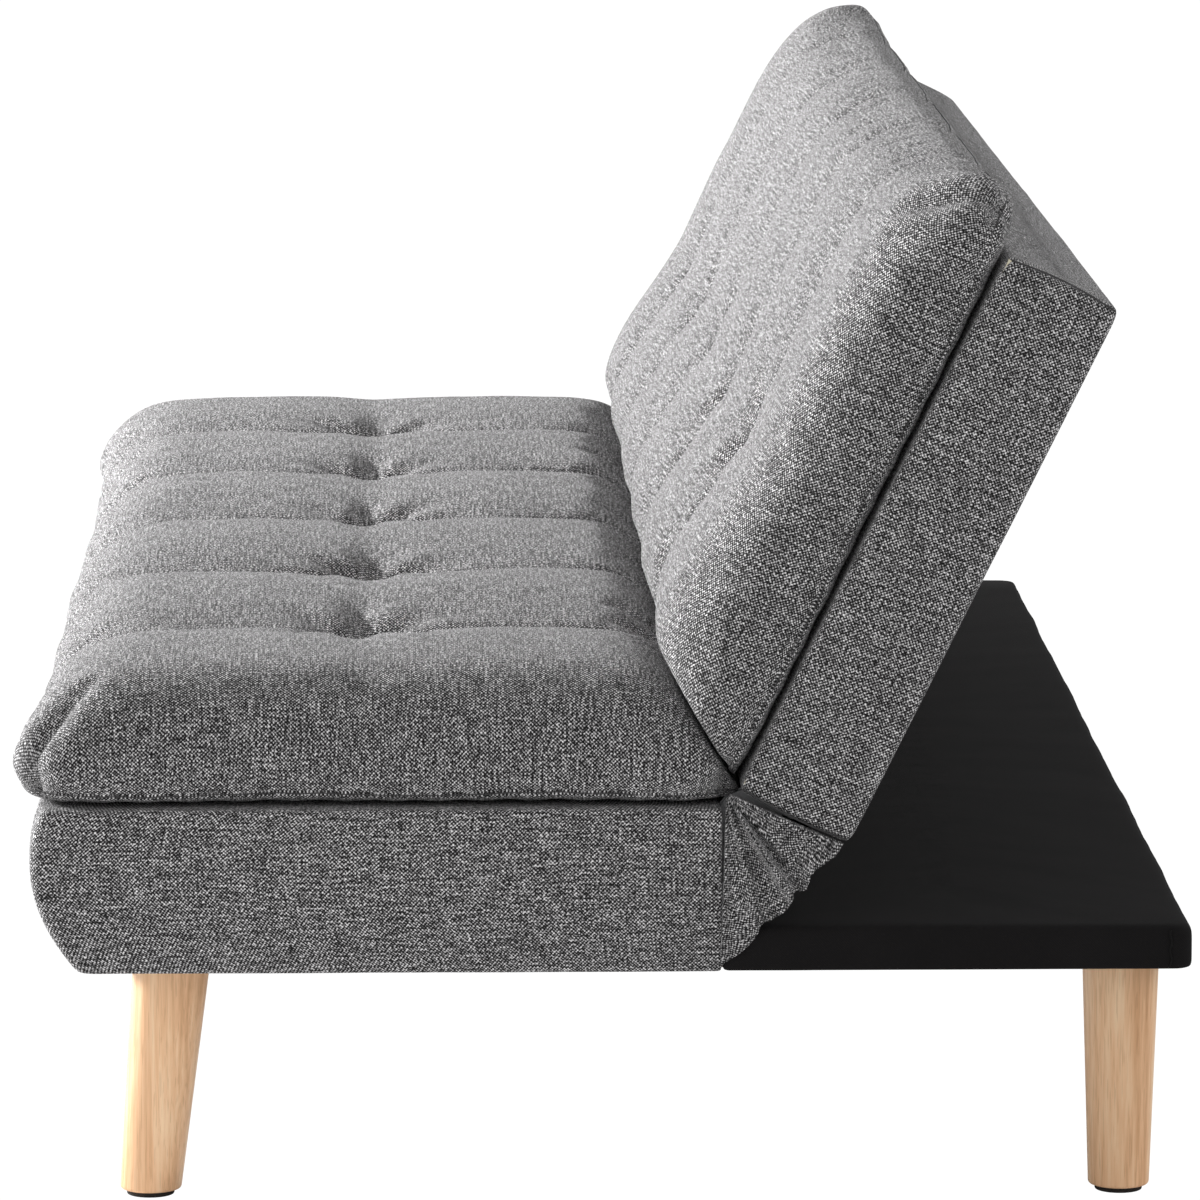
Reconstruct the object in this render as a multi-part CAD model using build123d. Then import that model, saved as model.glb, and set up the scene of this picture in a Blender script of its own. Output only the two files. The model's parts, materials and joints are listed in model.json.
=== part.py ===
from build123d import *
import math
import os

os.makedirs("parts", exist_ok=True)

# Click-clack futon: a two-seat sofa whose back folds flat over a low deck.
# X runs along the sofa, -Y is the front, +Y the rear, +Z up, floor at Z = 0.
# Right is +X. All lengths in millimetres, all angles in degrees.

# ---------------------------------------------------------------- dimensions
CUSHION_HALF = 840.0      # half length over the two pillow-tops
BODY_HALF = 830.0         # half length of the seat box, back slab and deck
FRONT_Y = -420.0          # front of the seat cushion
REAR_Y = 420.0            # rear of the deck

# timber base
RUN_X0, RUN_X1 = 752.0, 826.0
RUN_Y0, RUN_Y1 = -362.0, 414.0
RUN_Z0, RUN_Z1 = 174.0, 199.0
FRONT_CROSS = (-362.0, -292.0)
MID_CROSS = (10.0, 80.0)
REAR_CROSS = (344.0, 414.0)

# seat box
BOARD_Z1 = 262.0
BOARD_T = 22.0
SEAT_X1 = 822.0
REAR_BOARD_Y = (58.0, 80.0)
REAR_BOARD_HALF = 786.0
COVER_T = 1.5
SEAT_TOP_Z = 288.5
SEAT_REAR_Y = 84.0

# zigzag springs
SPRING_N = 7
SPRING_PITCH_X = 222.0
WIRE_R = 1.8
WIRE_Z = 266.0
LOOP_HALF = 27.0
LOOP_R = 18.0

# pillow-tops
PILLOW_T = 1.2
SEAT_PILLOW_Z0, SEAT_PILLOW_Z1 = 289.0, 376.0
SEAT_PILLOW_Y1 = 80.0

# deck
DECK_Z0, DECK_Z1 = 171.5, 203.5
DECK_Y0 = 86.0
DECK_T = 1.2

# back slab, in its own frame: y' to the rear, z' up the slab, origin at the
# lower rear edge of the slab
TILT = 26.4
SLAB_ORG = (0.0, 175.2, 260.9)
SLAB_T = 88.0
SLAB_L = 425.0
BACK_PILLOW_Y0, BACK_PILLOW_Y1 = -170.0, -88.6
BACK_PILLOW_Z0, BACK_PILLOW_Z1 = 40.0, 465.0

# hinge: pivot P and pawl pivot A in (Y, Z)
P = (105.8, 274.0)
P_LOCAL = (-68.0, -19.1)
A = (107.1, 231.2)
PLATE_X0, PLATE_X1 = 796.0, 800.0
ARM_X0, ARM_X1 = 791.7, 795.7
HUB_R = 24.0
BOSS_R = 23.0
PIN_R = 6.0
PAWL_PIN_R = 5.0
FIT = 0.05                # radial running clearance on the pivots
PAWL_TIP_R = 4.2
PAWL_LIFT = 0.6           # the pawl stands this far off the ratchet's crest
STOPS = (0.0, 31.8, 63.6)  # sofa, half reclined, bed

# legs
LEG_X = 770.0
LEG_TOP_Z = 172.0
LEG_R_TOP, LEG_R_FOOT = 27.5, 21.8
LEG_FRONT_TOP_Y, LEG_FRONT_FOOT_Y = -304.0, -320.5
LEG_REAR_Y = 373.5
GLIDE_H, GLIDE_R = 4.0, 17.0

SIDES = (("left", -1), ("right", 1))
NODES = {}


# ------------------------------------------------------------------- helpers
def block(x0, x1, y0, y1, z0, z1):
    return Pos((x0 + x1) / 2, (y0 + y1) / 2, (z0 + z1) / 2) * Box(
        abs(x1 - x0), y1 - y0, z1 - z0
    )


def sided(s, x0, x1):
    return (x0, x1) if s > 0 else (-x1, -x0)


def profile(pts):
    """Closed face in (Y, Z) from (y, z, corner radius) triples."""
    f = make_face(Polyline(*[(p[0], p[1]) for p in pts], close=True))
    for y, z, r in pts:
        if r > 0:
            v = min(f.vertices(), key=lambda q: (q.X - y) ** 2 + (q.Y - z) ** 2)
            f = fillet(v, r)
    return f


def prism(face, x0, x1):
    return extrude(Plane.YZ.offset(x0) * face, amount=x1 - x0)


def rod(r, axis, c, a0, a1):
    """Cylinder along 'x', 'y' or 'z' from a0 to a1; c is the other two."""
    h = a1 - a0
    m = (a0 + a1) / 2
    if axis == "x":
        return Pos(m, c[0], c[1]) * Rot(0, 90, 0) * Cylinder(r, h)
    if axis == "y":
        return Pos(c[0], m, c[1]) * Rot(90, 0, 0) * Cylinder(r, h)
    return Pos(c[0], c[1], m) * Cylinder(r, h)


def group(items):
    solids = []
    for it in items:
        solids.extend(it.solids())
    return solids[0] if len(solids) == 1 else Compound(children=solids)


def put(name, shape):
    NODES[name] = shape


BACK = Location(SLAB_ORG, (-TILT, 0, 0))


def to_back(shape):
    return BACK * shape


def pillow(half, pts, end_r):
    body = prism(profile(pts), -half, half)
    ends = body.faces().filter_by(Axis.X)
    return fillet(ends.edges(), end_r)


# ------------------------------------------------------------ timber base
front_leg_y = LEG_FRONT_TOP_Y
leg_spots = [(s * LEG_X, y) for _, s in SIDES for y in (front_leg_y, LEG_REAR_Y)]

runners = {}
for side, s in SIDES:
    x0, x1 = sided(s, RUN_X0, RUN_X1)
    runners[side] = block(x0, x1, RUN_Y0, RUN_Y1, RUN_Z0, RUN_Z1)

crossrails = {}
for nm, (y0, y1) in (
    ("base_front_crossrail", FRONT_CROSS),
    ("base_middle_crossrail", MID_CROSS),
    ("base_rear_crossrail", REAR_CROSS),
):
    crossrails[nm] = block(-RUN_X0, RUN_X0, y0, y1, RUN_Z0, RUN_Z1)

# dowels: two at each end of each crossrail
dowels = []
zc = (RUN_Z0 + RUN_Z1) / 2
for nm, (y0, y1) in (
    ("base_front_crossrail", FRONT_CROSS),
    ("base_middle_crossrail", MID_CROSS),
    ("base_rear_crossrail", REAR_CROSS),
):
    for side, s in SIDES:
        for y in (y0 + 10, y1 - 10):
            a, b = sided(s, RUN_X0 - 28, RUN_X0 + 8)
            dowels.append(rod(4.0, "x", (y, zc), a, b))
            hole = rod(4.05, "x", (y, zc), a - 0.5, b + 0.5)
            runners[side] -= hole
            crossrails[nm] -= hole

# seat boards
boards = {}
boards["seat_front_board"] = block(
    -SEAT_X1, SEAT_X1, RUN_Y0, RUN_Y0 + BOARD_T, RUN_Z1, BOARD_Z1
)
for side, s in SIDES:
    x0, x1 = sided(s, SEAT_X1 - BOARD_T, SEAT_X1)
    boards["seat_side_board_" + side] = block(
        x0, x1, RUN_Y0 + BOARD_T, 78.0, RUN_Z1, BOARD_Z1
    )
boards["seat_rear_board"] = block(
    -REAR_BOARD_HALF, REAR_BOARD_HALF, *REAR_BOARD_Y, RUN_Z1, BOARD_Z1
)
boards["seat_centre_board"] = block(
    -BOARD_T / 2, BOARD_T / 2, RUN_Y0 + BOARD_T, REAR_BOARD_Y[0], RUN_Z1 + 1, 254.0
)


# countersunk screws driven up from below
def screw_up(x, y, z0, length, r, head_r):
    head = Pos(x, y, z0 + 1.6) * Cone(head_r, r, 3.2)
    return head + rod(r, "z", (x, y), z0 + 3.2, z0 + length)


def screw_hole(x, y, z0, length, r, head_r):
    g = 0.08
    head = Pos(x, y, z0 + 1.6) * Cone(head_r + g, r + g, 3.2)
    return head + rod(r + g, "z", (x, y), z0 + 3.1, z0 + length + 1)


screws = []
SCREW = (60.0, 2.5, 5.0)
yf = RUN_Y0 + BOARD_T / 2
yr = sum(REAR_BOARD_Y) / 2
for x in (-600, -300, 0, 300, 600):
    for y, rail, board in (
        (yf, "base_front_crossrail", "seat_front_board"),
        (yr, "base_middle_crossrail", "seat_rear_board"),
    ):
        screws.append(screw_up(x, y, RUN_Z0, *SCREW))
        cut = screw_hole(x, y, RUN_Z0, *SCREW)
        crossrails[rail] -= cut
        boards[board] -= cut
for side, s in SIDES:
    x = s * (SEAT_X1 - BOARD_T / 2)
    for y in (-230.0, -60.0):
        screws.append(screw_up(x, y, RUN_Z0, *SCREW))
        cut = screw_hole(x, y, RUN_Z0, *SCREW)
        runners[side] -= cut
        boards["seat_side_board_" + side] -= cut
    # front board to the runner
    x = s * 812.0
    screws.append(screw_up(x, yf, RUN_Z0, *SCREW))
    cut = screw_hole(x, yf, RUN_Z0, *SCREW)
    runners[side] -= cut
    boards["seat_front_board"] -= cut
put("frame_screws", group(screws))
put("frame_dowels", group(dowels))

# ------------------------------------------------------------------- legs
lean = math.degrees(
    math.atan2(LEG_FRONT_TOP_Y - LEG_FRONT_FOOT_Y, LEG_TOP_Z - GLIDE_H)
)
tee_nuts, bolts, plates, plate_screws, glides = [], [], [], [], []
for side, s in SIDES:
    for end in ("front", "rear"):
        x = s * LEG_X
        y = LEG_FRONT_TOP_Y if end == "front" else LEG_REAR_Y
        yb = LEG_FRONT_FOOT_Y if end == "front" else LEG_REAR_Y
        h = LEG_TOP_Z - GLIDE_H
        slope = (LEG_R_TOP - LEG_R_FOOT) / h
        extra = 12.0
        cone = Cone(
            LEG_R_FOOT - slope * extra, LEG_R_TOP + slope * extra, h + 2 * extra
        )
        if end == "front":
            cone = Rot(-lean, 0, 0) * cone
        leg = Pos(x, (y + yb) / 2, (LEG_TOP_Z + GLIDE_H) / 2) * cone
        leg &= block(x - 80, x + 80, y - 90, y + 90, GLIDE_H, LEG_TOP_Z)
        low = leg.edges().sort_by(Axis.Z)[0]
        leg = fillet(low, 2.5)
        # hanger bolt: lower half in the leg, upper half in the tee nut
        bolts.append(rod(4.0, "z", (x, y), 132.0, 196.0))
        leg -= rod(4.06, "z", (x, y), 131.0, LEG_TOP_Z + 1)
        nut = rod(6.0, "z", (x, y), 182.0, 197.0) + rod(11.0, "z", (x, y), 197.0, RUN_Z1)
        nut -= rod(4.06, "z", (x, y), 181.0, RUN_Z1 + 1)
        tee_nuts.append(nut)
        runners[side] -= rod(6.06, "z", (x, y), RUN_Z0 - 1, 197.5)
        runners[side] -= rod(11.1, "z", (x, y), 196.95, RUN_Z1 + 1)
        plate = block(x - 25, x + 25, y - 25, y + 25, LEG_TOP_Z, RUN_Z0)
        plate = fillet(plate.edges().filter_by(Axis.Z), 6.0)
        plate -= rod(4.3, "z", (x, y), LEG_TOP_Z - 1, RUN_Z0 + 1)
        for dx, dy in ((-14, -12), (-14, 12), (14, -12), (14, 12)):
            sx, sy = x + dx, y + dy
            head = Pos(sx, sy, LEG_TOP_Z + 1) * Cone(3.4, 1.75, 2.0)
            plate_screws.append(head + rod(1.75, "z", (sx, sy), RUN_Z0, 190.0))
            plate -= Pos(sx, sy, LEG_TOP_Z + 1) * Cone(3.5, 1.85, 2.0)
            runners[side] -= rod(1.83, "z", (sx, sy), RUN_Z0 - 1, 191.0)
        plates.append(plate)
        # glide with its nail in the foot
        glide = rod(GLIDE_R, "z", (x, yb), 0.0, GLIDE_H)
        glide = fillet(glide.edges().sort_by(Axis.Z)[0], 1.0)
        glide += rod(1.4, "z", (x, yb), GLIDE_H, GLIDE_H + 18)
        leg -= rod(1.46, "z", (x, yb), GLIDE_H - 1, GLIDE_H + 19)
        glides.append(glide)
        put("leg_%s_%s" % (end, side), leg)
put("leg_bolts", group(bolts))
put("leg_tee_nuts", group(tee_nuts))
put("leg_plates", group(plates))
put("leg_plate_screws", group(plate_screws))
put("leg_glides", group(glides))

# ------------------------------------------------------- hinge, fixed half
plate_face = (
    Pos((-90 + 70) / 2, 235) * Rectangle(160, 40)
    + Pos(*P) * Circle(BOSS_R)
    + Pos(*A) * Circle(10)
    + make_face(
        Polyline(
            (40, 215), (40, 255), (70, 258), (83.5, 268), (122, 258), (117, 230), (107, 221.3),
            close=True,
        )
    )
)
plate_face -= Pos(*P) * Circle(PIN_R + 0.03)
plate_face -= Pos(*A) * Circle(PAWL_PIN_R + 0.03)

hinge_screws, hinge_pins, pawl_pins = [], [], []
for side, s in SIDES:
    x0, x1 = sided(s, PLATE_X0, PLATE_X1)
    hp = prism(plate_face, x0, x1)
    for y in (-75.0, -15.0, 45.0):
        # countersunk screw through the plate into the side board
        xi, xo = s * PLATE_X0, s * PLATE_X1
        turn = Rot(0, 90 if s > 0 else -90, 0)
        cs = Pos(s * (PLATE_X0 + 1.5), y, 235) * turn * Cone(4.6, 2.25, 3.0)
        a, b = sided(s, PLATE_X0 + 3.0, 818.0)
        hinge_screws.append(cs + rod(2.25, "x", (y, 235), a, b))
        cc = Pos(s * (PLATE_X0 + 1.5), y, 235) * turn * Cone(4.7, 2.35, 3.0)
        a, b = sided(s, PLATE_X0 + 2.9, 819.0)
        cut = cc + rod(2.35, "x", (y, 235), a, b)
        hp -= cut
        boards["seat_side_board_" + side] -= cut
    put("hinge_plate_" + side, hp)
    a, b = sided(s, 788.0, 803.0)
    pin = rod(PIN_R, "x", P, a, b)
    pin += rod(10.0, "x", P, *sided(s, 788.0, ARM_X0 - 0.3))
    pin += rod(10.0, "x", P, *sided(s, PLATE_X1, 803.0))
    hinge_pins.append(pin)
    pin = rod(PAWL_PIN_R, "x", A, a, b)
    pin += rod(8.0, "x", A, *sided(s, 788.0, ARM_X0 - 0.3))
    pin += rod(8.0, "x", A, *sided(s, PLATE_X1, 803.0))
    pawl_pins.append(pin)
put("hinge_plate_screws", group(hinge_screws))
put("hinge_pins", group(hinge_pins))
put("pawl_pins", group(pawl_pins))

# --------------------------------------------------------------- pawls
tip_dir = (-0.7995, -0.6006)
tip_c = tuple(P[i] + (HUB_R + PAWL_LIFT + PAWL_TIP_R) * tip_dir[i] for i in (0, 1))
d = (tip_c[0] - A[0], tip_c[1] - A[1])
dl = math.hypot(*d)
nrm = (-d[1] / dl, d[0] / dl)
pawl_face = Pos(*A) * Circle(9) + Pos(*tip_c) * Circle(PAWL_TIP_R)
pawl_face += make_face(
    Polyline(
        (A[0] + 8.4 * nrm[0], A[1] + 8.4 * nrm[1]),
        (tip_c[0] + 4.0 * nrm[0], tip_c[1] + 4.0 * nrm[1]),
        (tip_c[0] - 4.0 * nrm[0], tip_c[1] - 4.0 * nrm[1]),
        (A[0] - 8.4 * nrm[0], A[1] - 8.4 * nrm[1]),
        close=True,
    )
)
pawl_face -= Pos(*A) * Circle(PAWL_PIN_R + FIT)
# leaf spring: from a foot on the hinge plate up to the pawl's lower flank
flank = nrm if nrm[0] < 0 else (-nrm[0], -nrm[1])
touch = (
    tip_c[0] + (4.0 + 1.1) * flank[0] - 0.22 * d[0],
    tip_c[1] + (4.0 + 1.1) * flank[1] - 0.22 * d[1],
)
foot = (touch[0] - 16.0, touch[1] - 15.0)
sd = (touch[0] - foot[0], touch[1] - foot[1])
sl = math.hypot(*sd)
sn = (-sd[1] / sl * 0.4, sd[0] / sl * 0.4)
leaf_face = make_face(
    Polyline(
        (foot[0] + sn[0], foot[1] + sn[1]),
        (touch[0] + sn[0], touch[1] + sn[1]),
        (touch[0] - sn[0], touch[1] - sn[1]),
        (foot[0] - sn[0], foot[1] - sn[1]),
        close=True,
    )
) + Pos(*foot) * Circle(2.6)
for side, s in SIDES:
    put("pawl_" + side, prism(pawl_face, *sided(s, ARM_X0, ARM_X1)))
    put("pawl_spring_" + side, prism(leaf_face, *sided(s, ARM_X0 + 0.5, PLATE_X0)))

# -------------------------------------------------------- seat suspension
pitch_y = (yr - yf) / 10.0
pts, xs = [], -LOOP_HALF
for i in range(11):
    y = yf + i * pitch_y
    pts.append((xs, y, 0))
    xs = -xs
    pts.append((xs, y, 0))
path = FilletPolyline(*pts, radius=LOOP_R)
one = sweep(Plane(path @ 0, z_dir=path % 0) * Circle(WIRE_R), path=path)
xs_springs = [(i - (SPRING_N - 1) / 2) * SPRING_PITCH_X for i in range(SPRING_N)]
springs, clips = [], []
for x in xs_springs:
    springs.append(Pos(x, 0, WIRE_Z) * one)
    for y in (yf, yr):
        c = block(x - 8, x + 8, y - 7, y + 7, BOARD_Z1, 269.2)
        c = fillet(c.edges().filter_by(Axis.X).sort_by(Axis.Z)[-2:], 2.0)
        clips.append(c - rod(WIRE_R + 0.06, "x", (y, WIRE_Z), x - 9, x + 9))
put("seat_springs", group(springs))
put("spring_clips", group(clips))
put("seat_spring_felt", block(-816, 816, RUN_Y0 + 2, 78.0, 270.0, 274.0))
put("seat_foam", block(-826, 826, RUN_Y0, 78.0, 274.2, 286.4))

# rounded foam roll on the seat front
roll = profile(
    [
        (-362.5, 175.0, 0),
        (-370.0, 175.0, 6),
        (-400.0, 240.0, 40),
        (-392.0, 286.4, 6),
        (-362.5, 286.4, 0),
    ]
)
put("seat_front_foam", prism(roll, -826, 826))
pads = []
for side, s in SIDES:
    pads.append(block(*sided(s, 822.4, 828.0), RUN_Y0, 78.0, 200.0, 273.8))
put("seat_side_padding", group(pads))

# grey cover of the seat box: top, front roll, two ends, rear, turned under
cov = prism(
    profile(
        [
            (SEAT_REAR_Y, 172.2, 0),
            (-372.0, 172.2, 9),
            (-402.6, 240.0, 42),
            (-394.0, SEAT_TOP_Z, 8),
            (SEAT_REAR_Y, SEAT_TOP_Z, 0),
        ]
    ),
    -BODY_HALF,
    BODY_HALF,
)
cov_in = prism(
    profile(
        [
            (SEAT_REAR_Y - COVER_T, 172.2 + COVER_T, 0),
            (-371.2, 172.2 + COVER_T, 7.5),
            (-401.0, 240.0, 40.5),
            (-392.6, SEAT_TOP_Z - COVER_T, 6.5),
            (SEAT_REAR_Y - COVER_T, SEAT_TOP_Z - COVER_T, 0),
        ]
    ),
    -BODY_HALF + COVER_T,
    BODY_HALF - COVER_T,
)
cov -= cov_in
cov -= block(-800, 800, -338, SEAT_REAR_Y + 5, 170, 174.5)
cov -= block(-BODY_HALF + COVER_T, BODY_HALF - COVER_T, 60, 90, 170, 206.0)
for side, s in SIDES:
    cov -= block(*sided(s, 785.0, 805.0), 80, 90, 200, 286.0)
put("seat_base_cover", cov)


# -------------------------------------------------------- seat pillow-top
def seat_pillow(g):
    return pillow(
        CUSHION_HALF - g,
        [
            (FRONT_Y + g, SEAT_PILLOW_Z0 + g, 27 - g),
            (FRONT_Y + g, SEAT_PILLOW_Z1 - g, 46 - g),
            (SEAT_PILLOW_Y1 - g, SEAT_PILLOW_Z1 - g, 62 - g),
            (SEAT_PILLOW_Y1 - g, SEAT_PILLOW_Z0 + g, 16 - g),
        ],
        13 - g,
    )


put("seat_cushion_cover", seat_pillow(0) - seat_pillow(PILLOW_T))
put("seat_cushion_core", seat_pillow(PILLOW_T + 0.15))

# ---------------------------------------------------------------- deck
put("deck_panel", block(-824.5, 824.5, 90.0, RUN_Y1 - 1, RUN_Z1, 202.0))
deck = block(-BODY_HALF, BODY_HALF, DECK_Y0, REAR_Y, DECK_Z0, DECK_Z1)
deck = fillet(deck.edges().filter_by(Axis.Z).sort_by(Axis.Y)[-2:], 8.0)
deck = fillet(
    deck.edges().filter_by(lambda e: e.center().Z > DECK_Z1 - 0.01 and e.center().Y > DECK_Y0 + 1),
    3.0,
)
deck_in = block(
    -BODY_HALF + DECK_T, BODY_HALF - DECK_T, DECK_Y0 - 5, REAR_Y - DECK_T,
    DECK_Z0 + DECK_T, DECK_Z1 - DECK_T,
)
deck_in = fillet(deck_in.edges().filter_by(Axis.Z).sort_by(Axis.Y)[-2:], 6.8)
deck_in = fillet(
    deck_in.edges().filter_by(
        lambda e: e.center().Z > DECK_Z1 - DECK_T - 0.01 and e.center().Y > DECK_Y0
    ),
    1.8,
)
deck -= deck_in
deck -= block(-800, 800, DECK_Y0 - 5, 404, DECK_Z0 - 2, DECK_Z0 + DECK_T + 0.5)
put("deck_cover", deck)

dust = block(-798, 798, -336, 402, 172.9, 173.7)
for x, y in leg_spots:
    dust -= block(x - 30, x + 60, y - 30, y + 30, 172, 175)
put("base_dust_cover", dust)

for side, s in SIDES:
    put("base_runner_" + side, runners[side])
for nm, shp in crossrails.items():
    put(nm, shp)
for nm, shp in boards.items():
    put(nm, shp)

# ----------------------------------------------------- back slab, own frame
stiles, arms, arm_bolts = {}, {}, []
arm_face = Pos(*P_LOCAL) * Circle(HUB_R)
arm_face += Pos(-52, 72) * RectangleRounded(28, 154, 4)
arm_face -= Pos(*P_LOCAL) * Circle(PIN_R + FIT)
ca, sa = math.cos(math.radians(TILT)), math.sin(math.radians(TILT))
for th in STOPS:
    # ratchet notch that meets the pawl at this recline
    t = math.radians(th)
    u = (
        tip_dir[0] * math.cos(t) - tip_dir[1] * math.sin(t),
        tip_dir[0] * math.sin(t) + tip_dir[1] * math.cos(t),
    )
    # (Y, Z) direction into the slab's own (y', z')
    ul = (u[0] * ca - u[1] * sa, u[0] * sa + u[1] * ca)
    arm_face -= Pos(
        P_LOCAL[0] + (HUB_R + 0.4) * ul[0], P_LOCAL[1] + (HUB_R + 0.4) * ul[1]
    ) * Circle(PAWL_TIP_R + 0.4)
for side, s in SIDES:
    st = block(*sided(s, ARM_X1, 820.0), -70, -20, 12, 415)
    arm = prism(arm_face, *sided(s, ARM_X0, ARM_X1))
    for z in (40.0, 85.0, 130.0):
        a, b = sided(s, ARM_X0 - 3.5, ARM_X0)
        bolt = rod(6.5, "x", (-52, z), a, b)
        a, b = sided(s, ARM_X0, 814.0)
        bolt += rod(3.0, "x", (-52, z), a, b)
        arm_bolts.append(bolt)
        cut = rod(3.08, "x", (-52, z), *sided(s, ARM_X0 - 1, 815.0))
        st -= cut
        arm -= cut
    put("back_stile_" + side, to_back(st))
    put("hinge_arm_" + side, to_back(arm))
put("arm_bolts", group([to_back(b) for b in arm_bolts]))

put("back_top_rail", to_back(block(-ARM_X1, ARM_X1, -70, -20, 390, 415)))
put("back_bottom_rail", to_back(block(-786, 786, -70, -20, 12, 40)))
put(
    "back_mid_stiles",
    group([to_back(block(x - 12, x + 12, -70, -20, 40, 390)) for x in (-265, 265)]),
)
put(
    "back_webbing",
    group(
        [
            to_back(block(-815, 815, -71.8, -70.2, z - 25, z + 25))
            for z in (85, 165, 245, 325)
        ]
    ),
)
put("back_foam", to_back(block(-826, 826, -86.2, -72.2, 7, 421)))
put(
    "back_edge_padding",
    group(
        [to_back(block(-826, 826, -72, -4, 415.4, 421.5))]
        + [
            to_back(block(*sided(s, 820.4, 827.5), -72, -4, 10, 415))
            for _, s in SIDES
        ]
    ),
)
slab = block(-BODY_HALF, BODY_HALF, -SLAB_T, 0, 0, SLAB_L)
slab = fillet(slab.edges().filter_by(Axis.X), 5.0)
slab_in = block(
    -BODY_HALF + COVER_T, BODY_HALF - COVER_T,
    -SLAB_T + COVER_T, -COVER_T, COVER_T, SLAB_L - COVER_T,
)
slab_in = fillet(slab_in.edges().filter_by(Axis.X), 3.5)
slab -= slab_in
slab -= block(-790, 790, -5, 5, 40, 385)
for side, s in SIDES:
    slab -= block(*sided(s, 786.0, 804.0), -84, -32, -5, 4)
put("back_cover", to_back(slab))
put("back_dust_panel", to_back(block(-800, 800, -3.2, -2.0, 30, 395)))


# -------------------------------------------------------- back pillow-top
def back_pillow(g):
    return to_back(
        pillow(
            CUSHION_HALF - g,
            [
                (BACK_PILLOW_Y0 + g, BACK_PILLOW_Z0 + g, 62 - g),
                (BACK_PILLOW_Y0 + g, BACK_PILLOW_Z1 - g, 40 - g),
                (BACK_PILLOW_Y1 - g, BACK_PILLOW_Z1 - g, 24 - g),
                (BACK_PILLOW_Y1 - g, BACK_PILLOW_Z0 + g, 14 - g),
            ],
            13 - g,
        )
    )


put("back_cushion_cover", back_pillow(0) - back_pillow(PILLOW_T))
put("back_cushion_core", back_pillow(PILLOW_T + 0.15))

# ------------------------------------- fabric that bridges seat and back
gus = make_face(Polyline((88.0, 283.0), (86.5, 206.0), (166.0, 256.5), close=True))
for side, s in SIDES:
    put("gusset_" + side, prism(gus, *sided(s, 824.0, 827.0)))
lining = make_face(
    Polyline(
        (85.2, 283.0), (86.6, 283.0), (91.0, 246.0), (118.0, 238.0), (150.0, 270.0),
        (151.2, 269.0), (118.4, 236.6), (90.0, 245.0),
        close=True,
    )
)
put("crease_cloth", prism(lining, -784, 784))

# ------------------------------------------------------------------ write
assert len(NODES) <= 60, len(NODES)
for name in sorted(NODES):
    export_step(NODES[name], "parts/%s.step" % name)
print(len(NODES), "nodes")
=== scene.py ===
import json
import math

import bpy
import numpy as np
from mathutils import Euler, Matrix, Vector, noise


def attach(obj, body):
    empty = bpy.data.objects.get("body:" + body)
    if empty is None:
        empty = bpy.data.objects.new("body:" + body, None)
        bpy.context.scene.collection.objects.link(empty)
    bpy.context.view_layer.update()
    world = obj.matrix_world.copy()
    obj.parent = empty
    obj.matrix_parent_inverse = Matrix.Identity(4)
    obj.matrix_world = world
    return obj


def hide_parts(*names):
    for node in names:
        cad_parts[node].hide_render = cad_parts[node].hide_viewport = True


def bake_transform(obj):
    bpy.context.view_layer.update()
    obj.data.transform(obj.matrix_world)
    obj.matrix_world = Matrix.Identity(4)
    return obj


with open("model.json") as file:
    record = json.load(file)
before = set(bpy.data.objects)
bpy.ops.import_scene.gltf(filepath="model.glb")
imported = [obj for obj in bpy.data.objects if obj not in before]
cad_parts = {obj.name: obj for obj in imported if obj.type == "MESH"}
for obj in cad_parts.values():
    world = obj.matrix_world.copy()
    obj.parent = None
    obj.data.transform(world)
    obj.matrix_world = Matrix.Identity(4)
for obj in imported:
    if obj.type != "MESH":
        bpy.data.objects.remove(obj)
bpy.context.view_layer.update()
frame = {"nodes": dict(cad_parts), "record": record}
SLOT_OF = {s["node"]: s["material_slot"] for s in frame["record"]["subparts"]}

# ------------------------------------------------------------------ camera
cam_data = bpy.data.cameras.new("camera")
cam = bpy.data.objects.new("camera", cam_data)
bpy.context.scene.collection.objects.link(cam)
cam.location = (6.2495, -0.1295, 1.2619)
cam.rotation_euler = Euler(
    (math.radians(81.3525), math.radians(-0.0286), math.radians(88.6397)), "XYZ"
)
cam_data.sensor_width = 36.0
cam_data.sensor_fit = "HORIZONTAL"
cam_data.lens = 234.63
cam_data.clip_end = 60.0
bpy.context.scene.camera = cam
bpy.context.scene.view_settings.view_transform = "Standard"
bpy.context.scene.view_settings.look = "None"


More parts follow.
